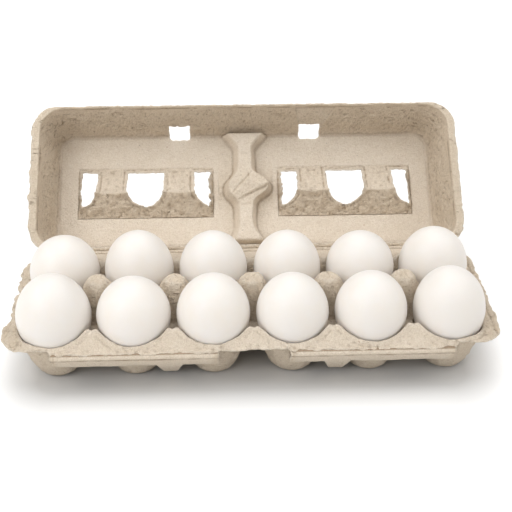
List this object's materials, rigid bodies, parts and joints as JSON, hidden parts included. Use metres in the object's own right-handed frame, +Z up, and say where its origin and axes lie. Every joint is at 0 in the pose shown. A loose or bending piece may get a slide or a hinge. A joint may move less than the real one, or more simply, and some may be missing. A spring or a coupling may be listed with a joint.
{
  "type": "egg carton with eggs",
  "caption": "Open moulded-pulp egg carton filled with white eggs: two-row tray of cups, vented lid on a rear crease, front flaps with latch tabs.",
  "frame": {"origin": "middle of the footprint, open lid included, on the table", "axes": "+X along the carton, -Y the front with the flaps, +Z up"},
  "size_m": [0.3, 0.2042, 0.105],
  "materials": {
    "pulp": "rough moulded grey-beige paper pulp",
    "eggshell": "white, fine satin shell"
  },
  "bodies": {
    "tray": {"tray": "pulp", "egg_front_1": "eggshell", "egg_front_2": "eggshell", "egg_front_3": "eggshell", "egg_front_4": "eggshell", "egg_front_5": "eggshell", "egg_front_6": "eggshell", "egg_back_1": "eggshell", "egg_back_2": "eggshell", "egg_back_3": "eggshell", "egg_back_4": "eggshell", "egg_back_5": "eggshell", "egg_back_6": "eggshell"},
    "lid": {"lid": "pulp"},
    "flap_left": {"flap_left": "pulp"},
    "flap_right": {"flap_right": "pulp"}
  },
  "joints": [
    {"name": "lid_crease", "type": "hinge", "parent": "tray", "child": "lid", "pos_m": [0, 0.0045, 0.033], "axis": [1, 0, 0], "range_deg": [-38, 139.3]},
    {"name": "flap_left_crease", "type": "hinge", "parent": "tray", "child": "flap_left", "pos_m": [-0.06975, -0.1016, 0.0266], "axis": [-1, 0, 0], "range_deg": [0, 230]},
    {"name": "flap_right_crease", "type": "hinge", "parent": "tray", "child": "flap_right", "pos_m": [0.06975, -0.1016, 0.0266], "axis": [-1, 0, 0], "range_deg": [0, 230]}
  ]
}
